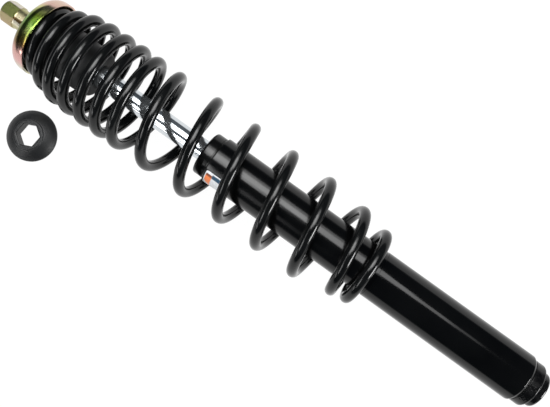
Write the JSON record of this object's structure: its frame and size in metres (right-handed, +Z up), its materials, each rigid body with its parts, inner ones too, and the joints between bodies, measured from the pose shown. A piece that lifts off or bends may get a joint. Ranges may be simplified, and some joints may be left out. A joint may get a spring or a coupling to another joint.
{
  "type": "coil-over shock strut",
  "caption": "Coil-over damper strut: plain clamp tube, chromed rod, bump stop, cup with hexagon stud, coil spring and a loose bushing with a hexagon hole.",
  "frame": {"origin": "centre of the bolt hole's mouth in the end face of the top hexagon", "axes": "+X along the damper axis, out of the hexagon end; +Z up, away from the surface the strut lies on; the loose bushing lies on the +Y side"},
  "size_m": [0.6576, 0.1796, 0.106],
  "materials": {
    "zinc_yellow": "yellow zinc chromate, satin",
    "spring_black": "black powder coat, satin",
    "tube_black": "black paint, gloss",
    "cap_black": "black paint, satin",
    "rod_chrome": "hard chrome, polished",
    "stop_rubber": "matte",
    "bushing_rubber": "matte",
    "label_film": "printed film, gloss",
    "steel": "machined steel",
    "steel_tube": "drawn steel tube, honed inside",
    "sintered": "sintered iron",
    "shim_steel": "bright spring steel",
    "bronze": "bronze backed liner",
    "seal_rubber": "nitrile, semi matte",
    "band_ptfe": "filled PTFE, matte"
  },
  "bodies": {
    "damper_body": {"outer_tube": "tube_black", "gland_cap": "cap_black", "gland_o_ring": "seal_rubber", "wiper_lip": "seal_rubber", "rod_seal": "seal_rubber", "garter_spring": "shim_steel", "seal_washer": "steel", "rod_guide": "sintered", "guide_bushing": "bronze", "pressure_tube": "steel_tube", "base_valve_body": "sintered", "foot_valve_washer": "steel", "base_valve_bolt": "steel", "base_valve_shims": "shim_steel", "base_valve_nut": "steel", "lower_plug": "cap_black", "filler_screw": "steel", "label": "label_film", "coil_spring": "spring_black"},
    "wear_band": {"piston_band": "band_ptfe"},
    "rod_assembly": {"top_hex_stud": "zinc_yellow", "spring_cup": "zinc_yellow", "bump_stop_washer": "steel", "bump_stop": "stop_rubber", "piston_rod": "rod_chrome", "rebound_stop_ring": "steel", "rebound_buffer": "seal_rubber", "check_guide_washer": "steel", "piston": "sintered", "rebound_shims": "shim_steel", "shim_washer": "steel", "piston_nut": "steel"},
    "check_plate": {"piston_check_plate": "shim_steel"},
    "foot_plate": {"foot_valve_plate": "shim_steel"},
    "loose_bushing": {"hex_bushing": "bushing_rubber"}
  },
  "joints": [
    {"name": "rod_slide", "type": "slide", "parent": "damper_body", "child": "wear_band", "axis": [-1, 0, 0], "range_m": [0, 0.125], "stiffness_N_per_m": 16500, "deforming": ["coil_spring"]},
    {"name": "rod_turn", "type": "hinge", "parent": "wear_band", "child": "rod_assembly", "pos_m": [0, 0, 0], "axis": [1, 0, 0], "continuous": true},
    {"name": "check_plate_lift", "type": "slide", "parent": "rod_assembly", "child": "check_plate", "axis": [1, 0, 0], "range_m": [0, 0.0014]},
    {"name": "foot_plate_lift", "type": "slide", "parent": "damper_body", "child": "foot_plate", "axis": [1, 0, 0], "range_m": [0, 0.0011]},
    {"name": "bushing_lift", "type": "slide", "parent": "damper_body", "child": "loose_bushing", "axis": [0, 0, 1], "range_m": [0, 0.12]}
  ]
}
